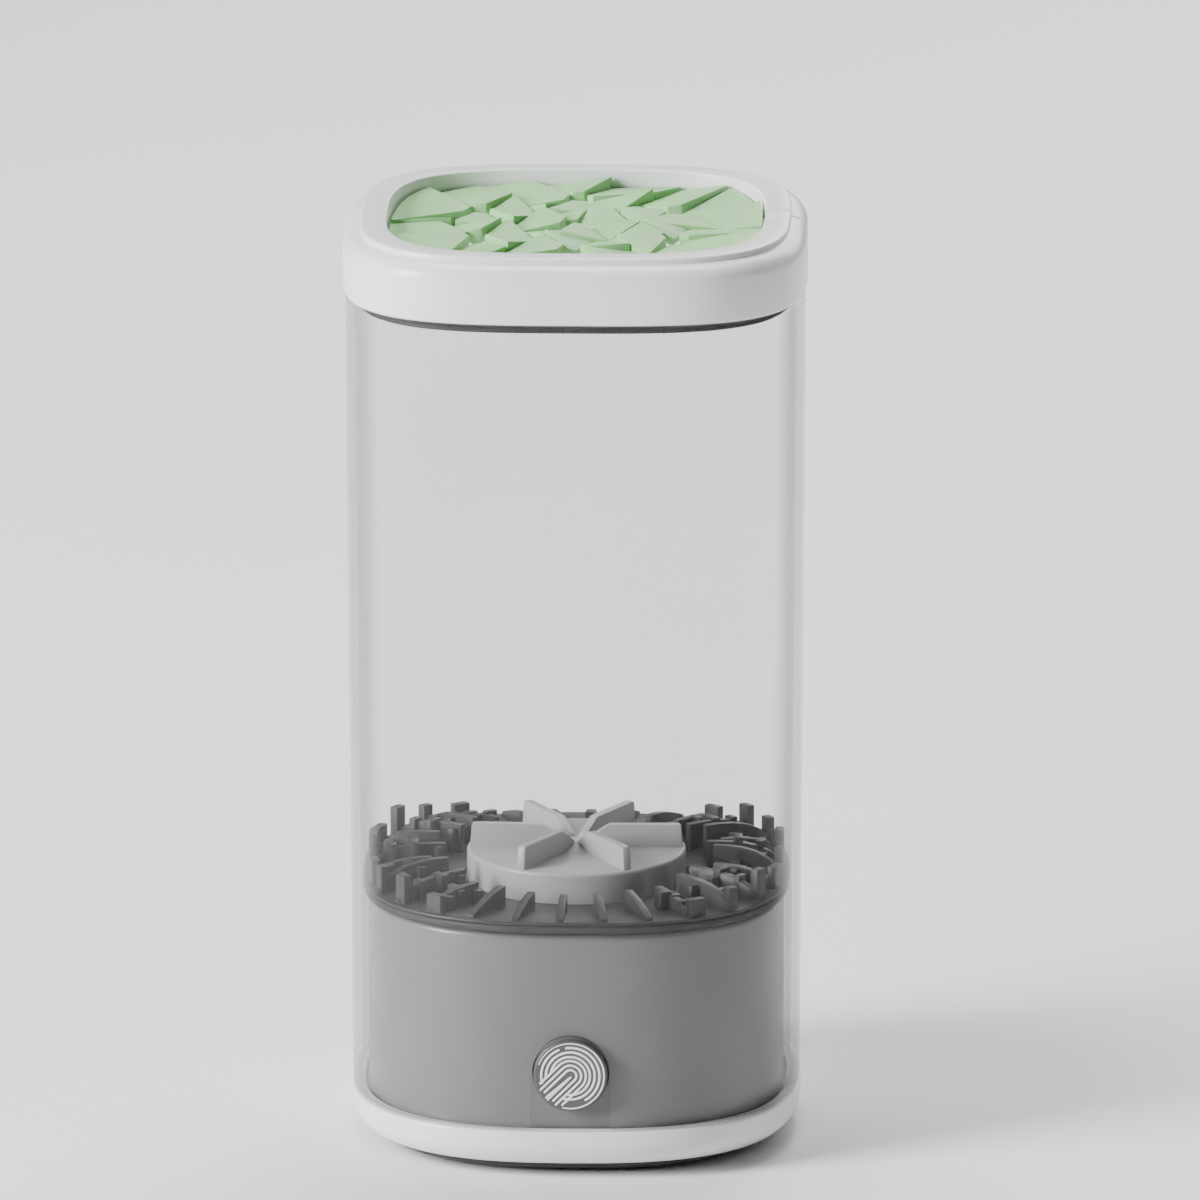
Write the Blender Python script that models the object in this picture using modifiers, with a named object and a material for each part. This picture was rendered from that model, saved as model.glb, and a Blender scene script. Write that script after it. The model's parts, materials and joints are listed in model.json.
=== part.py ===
"""Electric brush cleaner: a clear wash tank on a motor base, with a spinning scrub disc and a lid of silicone petals.

The origin is the centre of the underside, +Z is up and the button faces -Y. Sizes are in metres.
Every squarish piece is a turned ring squared off by one rule, so that nested pieces keep an even gap.
"""

import math

import bmesh
import bpy
from mathutils import Matrix, Vector

MM = 0.001

# Driving dimensions
LID_HALF = 43.0 * MM            # half the width over the lid
TANK_HALF_TOP = 42.7 * MM
TANK_HALF_FOOT = 41.9 * MM      # the tank has a moulding draft
TANK_WALL = 1.7 * MM
BASE_HALF = 42.1 * MM
HOUSING_HALF = 38.9 * MM
OPENING_HALF = 35.0 * MM        # the lid's opening

FEET_Z = 0.0
PLATE_Z = 0.8 * MM              # underside of the bottom plate
BASE_BOTTOM_Z = 2.0 * MM
BASE_TOP_Z = 9.4 * MM
HOUSING_TOP_Z = 46.5 * MM
BOWL_SHELF_Z = 49.0 * MM
DISC_RIM_Z = 53.1 * MM
LID_BOTTOM_Z = 163.0 * MM
LID_TOP_Z = 175.0 * MM

GAP = 0.3 * MM                  # clearance between pieces that touch
BASE_EXPONENT = 2.55            # outline at the base: nearly round corners
LID_EXPONENT = 3.3              # outline at the lid: squarer
EASE_START_Z = 60.0 * MM
EASE_END_Z = 160.0 * MM

DISC_RADIUS = 20.5 * MM
DISC_FINS = 6
WELL_RADIUS = 21.3 * MM         # hole in the bowl round the disc
BOWL_HALF = 40.0 * MM
BOWL_FINS = 30

BUTTON_RADIUS = 6.9 * MM
BUTTON_Z = 20.0 * MM
BUTTON_FACE_Y = -41.3 * MM
BUTTON_TRAVEL = 0.8 * MM
SWITCH_FACE_Y = -34.0 * MM
NOTCH_HALF = 7.4 * MM           # the tank's cut-out over the button

SHAFT_RADIUS = 1.5 * MM
MOTOR_RADIUS = 12.2 * MM
MOTOR_TOP_Z = 42.0 * MM
MOTOR_BOTTOM_Z = 13.0 * MM

CORNER = 22.0 * MM              # feet and case screws sit at (+-CORNER, +-CORNER)
USB_Z = 6.6 * MM

HUB_RING = 21.0 * MM            # the outer brush slots' distance from the middle
HUB_HOLE = 3.2 * MM
PETALS = 6
SLIT = 0.8 * MM
SLIT_REACH = 9.4 * MM

STEPS = 40
ROUND = 24
SMALL = 12

for old in list(bpy.data.objects):
    bpy.data.objects.remove(old)

parts = bpy.data.collections.new("brush_cleaner")
cutters = bpy.data.collections.new("cutters")
bpy.context.scene.collection.children.link(parts)
bpy.context.scene.collection.children.link(cutters)

assembly = bpy.data.objects.new("brush_cleaner_origin", None)
parts.objects.link(assembly)


def finish(name, colour, roughness, metallic=0.0, alpha=1.0):
    """A plain Principled material."""
    material = bpy.data.materials.new(name)
    material.use_nodes = True
    shader = material.node_tree.nodes["Principled BSDF"]
    shader.inputs["Base Color"].default_value = (*colour, 1.0)
    shader.inputs["Roughness"].default_value = roughness
    shader.inputs["Metallic"].default_value = metallic
    shader.inputs["Alpha"].default_value = alpha
    return material


WHITE = finish("white_shell", (0.86, 0.86, 0.87), 0.35)
GREY = finish("grey_shell", (0.52, 0.52, 0.53), 0.4)
CLEAR = finish("clear_tank", (0.93, 0.94, 0.95), 0.05, alpha=0.3)
GREEN = finish("green_silicone", (0.55, 0.72, 0.52), 0.5)
DARK = finish("dark_silicone", (0.1, 0.1, 0.11), 0.55)
DISC = finish("scrub_disc", (0.6, 0.6, 0.61), 0.4)
KEY = finish("button_cap", (0.55, 0.55, 0.56), 0.35)
RUBBER = finish("rubber", (0.03, 0.03, 0.03), 0.7)
STEEL = finish("steel", (0.6, 0.6, 0.62), 0.3, metallic=1.0)
BOARD = finish("circuit_board", (0.05, 0.25, 0.12), 0.5)
CELL = finish("battery_wrap", (0.1, 0.2, 0.5), 0.4)
COPPER = finish("copper_winding", (0.7, 0.35, 0.15), 0.35, metallic=1.0)
BLACK = finish("black_plastic", (0.02, 0.02, 0.02), 0.5)


def exponent_at(z):
    """How square the outline is at a height."""
    share = (z - EASE_START_Z) / (EASE_END_Z - EASE_START_Z)
    return BASE_EXPONENT + (LID_EXPONENT - BASE_EXPONENT) * min(max(share, 0.0), 1.0)


def reach(angle, z):
    """The outline's distance from the axis at an angle, for a half width of 1."""
    exponent = exponent_at(z)
    total = abs(math.cos(angle)) ** exponent + abs(math.sin(angle)) ** exponent
    return total ** (-1 / exponent)


def place(name, bm, material, location=(0, 0, 0), holder=None, helper=False):
    """Makes an object of a bmesh, in its collection, under the assembly's empty."""
    mesh = bpy.data.meshes.new(name)
    bmesh.ops.recalc_face_normals(bm, faces=bm.faces)
    bm.to_mesh(mesh)
    bm.free()
    if material:
        mesh.materials.append(material)
    made = bpy.data.objects.new(name, mesh)
    (cutters if helper else parts).objects.link(made)
    made.location = location
    made.parent = holder or assembly
    if helper:
        made.hide_render = True
        made.display_type = "WIRE"
    else:
        mesh.shade_smooth()
        mesh.set_sharp_from_angle(angle=math.radians(30))
    return made


def spun(profile, steps):
    """A bmesh of a closed (radius, z) profile turned about Z."""
    bm = bmesh.new()
    corners = [bm.verts.new((radius, 0, z)) for radius, z in profile]
    edges = [bm.edges.new((a, b)) for a, b in zip(corners, corners[1:] + corners[:1])]
    bmesh.ops.spin(
        bm,
        geom=corners + edges,
        cent=(0, 0, 0),
        axis=(0, 0, 1),
        angle=2 * math.pi,
        steps=steps,
        use_merge=True,
    )
    bmesh.ops.remove_doubles(bm, verts=bm.verts, dist=1e-7)
    bmesh.ops.dissolve_degenerate(bm, edges=bm.edges, dist=1e-7)
    return bm


def turned(name, profile, material, location=(0, 0, 0), steps=ROUND, **how):
    """A round piece from its (radius, z) profile."""
    return place(name, spun(profile, steps), material, location, **how)


def squared(name, profile, material, round_inside=0.0, full_from=0.0, **how):
    """A turned piece squared off. Inside the radius round_inside it stays round."""
    bm = spun(profile, STEPS)
    for vertex in bm.verts:
        radius = math.hypot(vertex.co.x, vertex.co.y)
        if radius < 1e-6:
            continue
        share = 1.0
        if full_from > round_inside:
            share = (radius - round_inside) / (full_from - round_inside)
            share = min(max(share, 0.0), 1.0)
        angle = math.atan2(vertex.co.y, vertex.co.x)
        scale = 1 + (reach(angle, vertex.co.z) - 1) * share
        vertex.co.x *= scale
        vertex.co.y *= scale
    return place(name, bm, material, **how)


def cylinder(name, radius, length, material, location, along="Z", segments=SMALL, **how):
    """A cylinder that starts at location and runs along an axis."""
    bm = bmesh.new()
    bmesh.ops.create_cone(
        bm,
        cap_ends=True,
        segments=segments,
        radius1=radius,
        radius2=radius,
        depth=length,
        matrix=Matrix.Translation((0, 0, length / 2)),
    )
    turn = {"Z": Matrix(), "Y": Matrix.Rotation(-math.pi / 2, 3, "X")}[along]
    bmesh.ops.rotate(bm, verts=bm.verts, matrix=turn.to_3x3())
    return place(name, bm, material, location, **how)


def block(name, low, high, material, bevel=0.0, **how):
    """A box between two corners, its origin at its middle."""
    low, high = Vector(low), Vector(high)
    bm = bmesh.new()
    bmesh.ops.create_cube(bm, size=1.0)
    bmesh.ops.scale(bm, vec=high - low, verts=bm.verts)
    made = place(name, bm, material, (low + high) / 2, **how)
    if bevel:
        rounding = made.modifiers.new("rounded_edges", "BEVEL")
        rounding.width = bevel
        rounding.segments = 2
    return made


def hull(bm, points):
    """Adds the convex solid round some points."""
    corners = [bm.verts.new(p) for p in points]
    found = bmesh.ops.convex_hull(bm, input=corners)
    spare = [g for g in found["geom_interior"] if isinstance(g, bmesh.types.BMVert)]
    if spare:
        bmesh.ops.delete(bm, geom=spare, context="VERTS")


def combine(target, tool, operation):
    """A Boolean of target with tool."""
    modifier = target.modifiers.new(f"{operation.lower()}_{tool.name}", "BOOLEAN")
    modifier.operation = operation
    modifier.object = tool


def arc(centre, radius, start, end, count):
    """Points on an arc of the (radius, z) plane, angles in degrees."""
    for i in range(count + 1):
        angle = math.radians(start + (end - start) * i / count)
        yield (centre[0] + radius * math.cos(angle), centre[1] + radius * math.sin(angle))


def polar(radius, angle, z):
    return Vector((radius * math.cos(angle), radius * math.sin(angle), z))


def corners_of(half):
    """The four corner places, with their names."""
    for side_x, word_x in ((-1, "left"), (1, "right")):
        for side_y, word_y in ((-1, "front"), (1, "rear")):
            yield f"{word_y}_{word_x}", side_x * half, side_y * half


# ---------------------------------------------------------------- base casing
def make_base_shell():
    lip = BASE_HALF - 2.5 * MM
    foot = 37.0 * MM
    rounding = 4.2 * MM
    profile = [
        (foot, BASE_BOTTOM_Z - 0.6 * MM),
        *arc((BASE_HALF - rounding, BASE_BOTTOM_Z - 0.6 * MM + rounding), rounding, -90, 0, 3),
        (BASE_HALF, BASE_TOP_Z - 0.4 * MM),
        (BASE_HALF - 0.4 * MM, BASE_TOP_Z),
        (lip, BASE_TOP_Z),
        (lip, 4.4 * MM),
        (foot, 4.4 * MM),
    ]
    return squared("base_shell", profile, WHITE)


def make_bottom_plate():
    edge = 36.7 * MM
    plate = squared(
        "bottom_plate",
        [(0, PLATE_Z), (edge - 0.5 * MM, PLATE_Z), (edge, PLATE_Z + 0.5 * MM), (edge, 2.8 * MM), (0, 2.8 * MM)],
        BLACK,
    )
    for word, x, y in corners_of(CORNER):
        boss = cylinder(f"boss_{word}", 7.0 * MM, 4.0 * MM, None, (x, y, 2.0 * MM), helper=True)
        combine(plate, boss, "UNION")
        stack = turned(
            f"screw_recess_{word}",
            [
                (0, -1 * MM),
                (0, 8 * MM),
                (1.8 * MM, 8 * MM),
                (1.8 * MM, 4.2 * MM),
                (3.2 * MM, 4.2 * MM),
                (3.2 * MM, 1.9 * MM),
                (5.8 * MM, 1.9 * MM),
                (5.8 * MM, -1 * MM),
            ],
            None,
            (x, y, 0),
            steps=SMALL,
            helper=True,
        )
        combine(plate, stack, "DIFFERENCE")
    return plate


def make_feet_and_screws():
    for word, x, y in corners_of(CORNER):
        turned(
            f"foot_{word}",
            [(0, 0), (5.0 * MM, 0), (5.5 * MM, 0.5 * MM), (5.5 * MM, 1.6 * MM), (0, 1.6 * MM)],
            RUBBER,
            (x, y, FEET_Z),
            steps=16,
        )
        turned(
            f"case_screw_{word}",
            [
                (0, 3.0 * MM),
                (0.9 * MM, 3.0 * MM),
                (0.9 * MM, 2.1 * MM),
                (2.3 * MM, 2.1 * MM),
                (2.8 * MM, 2.6 * MM),
                (2.8 * MM, 3.9 * MM),
                (1.4 * MM, 3.9 * MM),
                (1.4 * MM, 13.0 * MM),
                (0.7 * MM, 14.5 * MM),
                (0, 14.5 * MM),
            ],
            STEEL,
            (x, y, 0),
            steps=10,
        )


def make_housing():
    wall = 1.8 * MM
    inside = HOUSING_HALF - wall
    ceiling = HOUSING_TOP_Z - 2.2 * MM
    seal_bore, boss = 5.2 * MM, 7.6 * MM
    profile = [
        (seal_bore, ceiling),
        (seal_bore, HOUSING_TOP_Z + 2.0 * MM),
        (boss, HOUSING_TOP_Z + 2.0 * MM),
        (boss, HOUSING_TOP_Z),
        (HOUSING_HALF - 0.6 * MM, HOUSING_TOP_Z),
        (HOUSING_HALF, HOUSING_TOP_Z - 0.6 * MM),
        (HOUSING_HALF, 4.7 * MM),
        (inside, 4.7 * MM),
        (inside, ceiling),
    ]
    housing = squared("motor_housing", profile, GREY, round_inside=8 * MM, full_from=30 * MM)
    for word, x, y in corners_of(CORNER):
        post = turned(
            f"post_{word}",
            [
                (1.7 * MM, 6.3 * MM),
                (3.4 * MM, 6.3 * MM),
                (3.4 * MM, ceiling + 1.0 * MM),
                (0, ceiling + 1.0 * MM),
                (0, 20 * MM),
                (1.7 * MM, 20 * MM),
            ],
            None,
            (x, y, 0),
            steps=SMALL,
            helper=True,
        )
        combine(housing, post, "UNION")
    window = cylinder(
        "button_window", BUTTON_RADIUS + GAP, 10 * MM, None, (0, -45 * MM, BUTTON_Z),
        along="Y", segments=ROUND, helper=True,
    )
    combine(housing, window, "DIFFERENCE")
    return housing


def make_charge_port(housing, base_shell):
    """The USB-C socket on its board, and its slot through both walls."""
    slot = block(
        "port_slot",
        (-4.9 * MM, 34 * MM, USB_Z - 2.05 * MM),
        (4.9 * MM, 46 * MM, USB_Z + 1.9 * MM),
        None,
        bevel=1.2 * MM,
        helper=True,
    )
    combine(base_shell, slot, "DIFFERENCE")
    combine(housing, slot, "DIFFERENCE")
    block("charge_board", (-9 * MM, 20 * MM, 3.4 * MM), (9 * MM, 36 * MM, 4.6 * MM), BOARD)
    socket = block(
        "charge_socket",
        (-4.5 * MM, 31 * MM, USB_Z - 1.6 * MM),
        (4.5 * MM, 39.6 * MM, USB_Z + 1.6 * MM),
        STEEL,
        bevel=1.0 * MM,
    )
    mouth = block(
        "socket_mouth",
        (-4.1 * MM, 33 * MM, USB_Z - 1.2 * MM),
        (4.1 * MM, 42 * MM, USB_Z + 1.2 * MM),
        None,
        bevel=0.8 * MM,
        helper=True,
    )
    combine(socket, mouth, "DIFFERENCE")
    block(
        "charge_tongue",
        (-3.3 * MM, 33.3 * MM, USB_Z - 0.35 * MM),
        (3.3 * MM, 38.6 * MM, USB_Z + 0.35 * MM),
        BLACK,
    )


def make_electronics():
    block(
        "control_board",
        (-17 * MM, SWITCH_FACE_Y + 1.9 * MM, 8 * MM),
        (17 * MM, SWITCH_FACE_Y + 3.5 * MM, 34 * MM),
        BOARD,
    )
    block(
        "tact_switch",
        (-3 * MM, SWITCH_FACE_Y, BUTTON_Z - 3 * MM),
        (3 * MM, SWITCH_FACE_Y + 1.6 * MM, BUTTON_Z + 3 * MM),
        BLACK,
        bevel=0.3 * MM,
    )
    block(
        "battery_pack",
        (-18 * MM, 18 * MM, 7.5 * MM),
        (18 * MM, 27 * MM, 38 * MM),
        CELL,
        bevel=1.5 * MM,
    )


def make_button():
    """The round key: a cap through the housing's window, a flange behind it and a short stem."""
    cap = -BUTTON_FACE_Y - (HOUSING_HALF - 1.8 * MM) + 0.7 * MM
    stem = SWITCH_FACE_Y - BUTTON_FACE_Y - BUTTON_TRAVEL - 0.1 * MM
    profile = [
        (0, 0),
        (BUTTON_RADIUS - 0.6 * MM, 0),
        (BUTTON_RADIUS, 0.6 * MM),
        (BUTTON_RADIUS, cap),
        (BUTTON_RADIUS + 1.3 * MM, cap),
        (BUTTON_RADIUS + 1.3 * MM, cap + 0.9 * MM),
        (1.5 * MM, cap + 0.9 * MM),
        (1.5 * MM, stem),
        (0, stem),
    ]
    button = turned("touch_button", profile, KEY, (0, BUTTON_FACE_Y, BUTTON_Z))
    button.rotation_euler = (-math.pi / 2, 0, 0)


# ---------------------------------------------------------------- motor and drive
def make_motor():
    can_wall = 0.8 * MM
    inner = MOTOR_RADIUS - can_wall
    turned(
        "motor_can",
        [
            (1.9 * MM, MOTOR_TOP_Z + 1.6 * MM),
            (3.2 * MM, MOTOR_TOP_Z + 1.6 * MM),
            (3.2 * MM, MOTOR_TOP_Z),
            (MOTOR_RADIUS - 1 * MM, MOTOR_TOP_Z),
            (MOTOR_RADIUS, MOTOR_TOP_Z - 1 * MM),
            (MOTOR_RADIUS, MOTOR_BOTTOM_Z + 2 * MM),
            (inner, MOTOR_BOTTOM_Z + 2 * MM),
            (inner, MOTOR_TOP_Z - 1.2 * MM),
            (1.9 * MM, MOTOR_TOP_Z - 1.2 * MM),
        ],
        STEEL,
    )
    turned(
        "motor_endcap",
        [
            (0, MOTOR_BOTTOM_Z - 2 * MM),
            (5 * MM, MOTOR_BOTTOM_Z - 2 * MM),
            (5 * MM, MOTOR_BOTTOM_Z - 0.5 * MM),
            (MOTOR_RADIUS, MOTOR_BOTTOM_Z - 0.5 * MM),
            (MOTOR_RADIUS, MOTOR_BOTTOM_Z + 1.7 * MM),
            (1.9 * MM, MOTOR_BOTTOM_Z + 1.7 * MM),
            (1.9 * MM, MOTOR_BOTTOM_Z),
            (0, MOTOR_BOTTOM_Z),
        ],
        BLACK,
    )
    for side, word in ((0, "right"), (1, "left")):
        bm = spun(
            [
                (inner - 2.4 * MM, 19 * MM),
                (inner - GAP, 19 * MM),
                (inner - GAP, 37 * MM),
                (inner - 2.4 * MM, 37 * MM),
            ],
            ROUND,
        )
        for flip in (-1, 1):
            bmesh.ops.bisect_plane(
                bm,
                geom=bm.verts[:] + bm.edges[:] + bm.faces[:],
                plane_co=(0, 0, 0),
                plane_no=(-math.sin(math.radians(25)), flip * math.cos(math.radians(25)), 0),
                clear_outer=True,
            )
            bmesh.ops.holes_fill(bm, edges=[e for e in bm.edges if e.is_boundary])
        magnet = place(f"motor_magnet_{word}", bm, DARK)
        magnet.rotation_euler = (0, 0, math.pi * side)
    turned(
        "motor_armature",
        [
            (1.62 * MM, 18 * MM),
            (8.2 * MM, 18 * MM),
            (8.2 * MM, 38 * MM),
            (1.62 * MM, 38 * MM),
        ],
        COPPER,
        steps=16,
    )
    turned(
        "motor_shaft",
        [
            (0, MOTOR_BOTTOM_Z + 0.3 * MM),
            (SHAFT_RADIUS, MOTOR_BOTTOM_Z + 0.3 * MM),
            (SHAFT_RADIUS, DISC_RIM_Z - 3.2 * MM),
            (SHAFT_RADIUS - 0.4 * MM, DISC_RIM_Z - 2.8 * MM),
            (0, DISC_RIM_Z - 2.8 * MM),
        ],
        STEEL,
        steps=SMALL,
    )


def make_motor_mount(housing):
    sleeve = MOTOR_RADIUS + 0.3 * MM
    flange_z = MOTOR_TOP_Z + GAP
    flange = turned(
        "motor_bracket",
        [
            (4.0 * MM, flange_z),
            (4.0 * MM, flange_z + 1.7 * MM),
            (19.6 * MM, flange_z + 1.7 * MM),
            (19.6 * MM, flange_z),
            (sleeve + 1.8 * MM, flange_z),
            (sleeve + 1.8 * MM, 32 * MM),
            (sleeve, 32 * MM),
            (sleeve, flange_z),
        ],
        WHITE,
    )
    for side, word in ((-1, "left"), (1, "right")):
        place_at = (side * 17.0 * MM, 0, 0)
        thread = cylinder(f"bracket_thread_{word}", 1.3 * MM, 3.4 * MM, None,
                          (side * 17.0 * MM, 0, 42 * MM), helper=True)
        combine(housing, thread, "DIFFERENCE")
        hole = cylinder(f"bracket_hole_{word}", 1.6 * MM, 20 * MM, None,
                        (side * 17.0 * MM, 0, 30 * MM), helper=True)
        combine(flange, hole, "DIFFERENCE")
        turned(
            f"bracket_screw_{word}",
            [
                (0, flange_z - 1.6 * MM),
                (1.9 * MM, flange_z - 1.6 * MM),
                (2.3 * MM, flange_z - 1.2 * MM),
                (2.3 * MM, flange_z - GAP / 2),
                (1.0 * MM, flange_z - GAP / 2),
                (1.0 * MM, flange_z + 2.8 * MM),
                (0, flange_z + 2.8 * MM),
            ],
            STEEL,
            place_at,
            steps=10,
        )


def make_seals():
    turned(
        "shaft_seal",
        [
            (1.64 * MM, HOUSING_TOP_Z + 1.6 * MM),
            (4.9 * MM, HOUSING_TOP_Z + 1.6 * MM),
            (4.9 * MM, HOUSING_TOP_Z - 2.0 * MM),
            (3.4 * MM, HOUSING_TOP_Z - 2.0 * MM),
            (3.4 * MM, HOUSING_TOP_Z + 0.2 * MM),
            (1.64 * MM, HOUSING_TOP_Z + 0.2 * MM),
        ],
        RUBBER,
    )
    squared(
        "tank_seal",
        [
            (HOUSING_HALF - 2.6 * MM, HOUSING_TOP_Z + GAP),
            (BOWL_HALF, HOUSING_TOP_Z + GAP),
            (BOWL_HALF, HOUSING_TOP_Z + 1.8 * MM),
            (HOUSING_HALF - 2.6 * MM, HOUSING_TOP_Z + 1.8 * MM),
        ],
        RUBBER,
    )


# ---------------------------------------------------------------- scrub bowl and disc
def make_bowl():
    """A thin shelf round the disc with radial fins, tall at the sides and low at the front and back."""
    flange_z = BOWL_SHELF_Z - 0.5 * MM
    under = HOUSING_TOP_Z + GAP
    profile = [
        (WELL_RADIUS, under),
        (WELL_RADIUS, BOWL_SHELF_Z - 1.4 * MM),
        (WELL_RADIUS + 3 * MM, BOWL_SHELF_Z - 1.3 * MM),
        (34 * MM, BOWL_SHELF_Z),
        (BOWL_HALF, BOWL_SHELF_Z),
        (BOWL_HALF, flange_z),
        (HOUSING_HALF - 2.9 * MM, flange_z),
        (HOUSING_HALF - 2.9 * MM, under),
    ]
    bowl = squared("scrub_bowl", profile, DARK, round_inside=WELL_RADIUS + 2 * MM, full_from=34 * MM)
    bm = bmesh.new()
    for i in range(BOWL_FINS):
        angle = 2 * math.pi * i / BOWL_FINS + math.radians(3)
        sideways = math.cos(angle) ** 2
        top = BOWL_SHELF_Z + 2.7 * MM + sideways * (4.4, 1.8, 3.0)[i % 3] * MM
        inner = 29.5 * MM - 5.0 * MM * sideways * (1.0, 0.35, 0.7)[i % 3]
        outer = (BOWL_HALF - 0.9 * MM) * reach(angle, BOWL_SHELF_Z)
        half = Vector((-math.sin(angle), math.cos(angle), 0)) * 0.7 * MM
        line = [
            polar(inner, angle, BOWL_SHELF_Z - 1.6 * MM),
            polar(inner, angle, top),
            polar(inner + 2 * MM, angle, top),
            polar(outer, angle, BOWL_SHELF_Z + 0.8 * MM),
            polar(outer, angle, BOWL_SHELF_Z - 0.3 * MM),
        ]
        hull(bm, [p + side * half for p in line for side in (-1, 1)])
    fins = place("bowl_fins", bm, None, helper=True)
    combine(bowl, fins, "UNION")
    return bowl


def make_disc():
    """The scrub disc, pushed on the motor shaft. Its origin is on the shaft's axis at the rim's height."""
    under = HOUSING_TOP_Z + 2.6 * MM - DISC_RIM_Z
    skirt = HOUSING_TOP_Z + 0.8 * MM - DISC_RIM_Z
    disc = turned(
        "scrub_disc",
        [
            (0, 0.9 * MM),
            (4.2 * MM, 0.9 * MM),
            (5.4 * MM, 0),
            (DISC_RADIUS - 0.4 * MM, 0),
            (DISC_RADIUS, -0.4 * MM),
            (DISC_RADIUS, skirt),
            (DISC_RADIUS - 1.5 * MM, skirt),
            (DISC_RADIUS - 1.5 * MM, -1.8 * MM),
            (4.4 * MM, -1.8 * MM),
            (4.4 * MM, under),
            (SHAFT_RADIUS + 0.1 * MM, under),
            (SHAFT_RADIUS + 0.1 * MM, -2.4 * MM),
            (0, -2.4 * MM),
        ],
        DISC,
        (0, 0, DISC_RIM_Z),
        steps=32,
    )
    bm = bmesh.new()
    for i in range(DISC_FINS):
        angle = 2 * math.pi * i / DISC_FINS
        half = Vector((-math.sin(angle), math.cos(angle), 0)) * 0.75 * MM
        line = [
            polar(1.6 * MM, angle, -1.0 * MM),
            polar(3.4 * MM, angle, 4.4 * MM),
            polar(DISC_RADIUS - 0.5 * MM, angle, 4.4 * MM),
            polar(DISC_RADIUS - 0.2 * MM, angle, -1.0 * MM),
        ]
        hull(bm, [p + side * half for p in line for side in (-1, 1)])
    fins = place("disc_fins", bm, None, (0, 0, DISC_RIM_Z), helper=True)
    combine(disc, fins, "UNION")


# ---------------------------------------------------------------- tank
def tank_half(z):
    share = (z - BASE_TOP_Z) / (LID_BOTTOM_Z - BASE_TOP_Z)
    return TANK_HALF_FOOT + (TANK_HALF_TOP - TANK_HALF_FOOT) * share


def make_tank():
    bottom, top = BASE_TOP_Z + GAP, LID_BOTTOM_Z - GAP
    heights = [bottom + (top - bottom) * i / 4 for i in range(5)]
    outside = [(tank_half(z), z) for z in heights]
    inside = [(tank_half(z) - TANK_WALL, z) for z in reversed(heights)]
    tank = squared("wash_tank", outside + inside, CLEAR)
    bm = bmesh.new()
    outline = [(NOTCH_HALF * side, 5 * MM) for side in (-1, 1)]
    for i in range(19):
        angle = math.pi * i / 18
        outline.append((NOTCH_HALF * math.cos(angle), BUTTON_Z + NOTCH_HALF * math.sin(angle)))
    hull(bm, [Vector((x, y, z)) for x, z in outline for y in (-48 * MM, -36 * MM)])
    notch = place("button_notch", bm, None, helper=True)
    combine(tank, notch, "DIFFERENCE")


# ---------------------------------------------------------------- lid
def make_lid():
    ledge = OPENING_HALF - 2.0 * MM
    frame = OPENING_HALF + 4.8 * MM
    shoulder = 2.3 * MM
    plug = TANK_HALF_TOP - TANK_WALL - 1.2 * MM
    profile = [
        (ledge, LID_TOP_Z - 6.2 * MM),
        (ledge, LID_TOP_Z - 4.8 * MM),
        (OPENING_HALF, LID_TOP_Z - 4.8 * MM),
        (OPENING_HALF, LID_TOP_Z - 0.3 * MM),
        (OPENING_HALF + 0.3 * MM, LID_TOP_Z),
        (frame - 0.3 * MM, LID_TOP_Z),
        (frame, LID_TOP_Z - 0.3 * MM),
        (frame + 0.1 * MM, LID_TOP_Z - 1.0 * MM),
        *arc((LID_HALF - shoulder, LID_TOP_Z - 1.1 * MM - shoulder), shoulder, 80, 0, 3),
        (LID_HALF, LID_BOTTOM_Z + 0.4 * MM),
        (LID_HALF - 0.4 * MM, LID_BOTTOM_Z),
        (plug, LID_BOTTOM_Z),
        (plug, LID_BOTTOM_Z - 1.9 * MM),
        (plug - 1.8 * MM, LID_BOTTOM_Z - 1.9 * MM),
        (plug - 1.8 * MM, LID_TOP_Z - 6.2 * MM),
    ]
    lid = squared("lid_frame", profile, WHITE)
    groove = block(
        "release_groove",
        (OPENING_HALF - 1 * MM, 1.0 * MM, LID_TOP_Z - 0.8 * MM),
        (LID_HALF - 1.5 * MM, 2.2 * MM, LID_TOP_Z + 2 * MM),
        None,
        helper=True,
    )
    combine(lid, groove, "DIFFERENCE")
    thumb = block(
        "release_notch",
        (OPENING_HALF - 1 * MM, -4.2 * MM, LID_TOP_Z - 2.6 * MM),
        (OPENING_HALF + 1.6 * MM, 1.0 * MM, LID_TOP_Z + 2 * MM),
        None,
        helper=True,
    )
    combine(lid, thumb, "DIFFERENCE")
    squared(
        "lid_seal",
        [
            (plug + GAP, LID_BOTTOM_Z - 1.9 * MM),
            (plug + 0.9 * MM, LID_BOTTOM_Z - 1.9 * MM),
            (plug + 0.9 * MM, LID_BOTTOM_Z - GAP),
            (plug + GAP, LID_BOTTOM_Z - GAP),
        ],
        RUBBER,
    )


def hubs():
    """The brush slots' centres: one in the middle and six round it."""
    yield 0, Vector((0, 0, 0))
    for i in range(6):
        yield i + 1, polar(HUB_RING, math.radians(30 + 60 * i), 0)


def petal_lines(index):
    """The angles of the slits at a hub."""
    turn = math.radians(15 if index == 0 else 30 + 60 * (index - 1))
    return [turn + 2 * math.pi * (i + 0.5) / PETALS for i in range(PETALS)]


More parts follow.
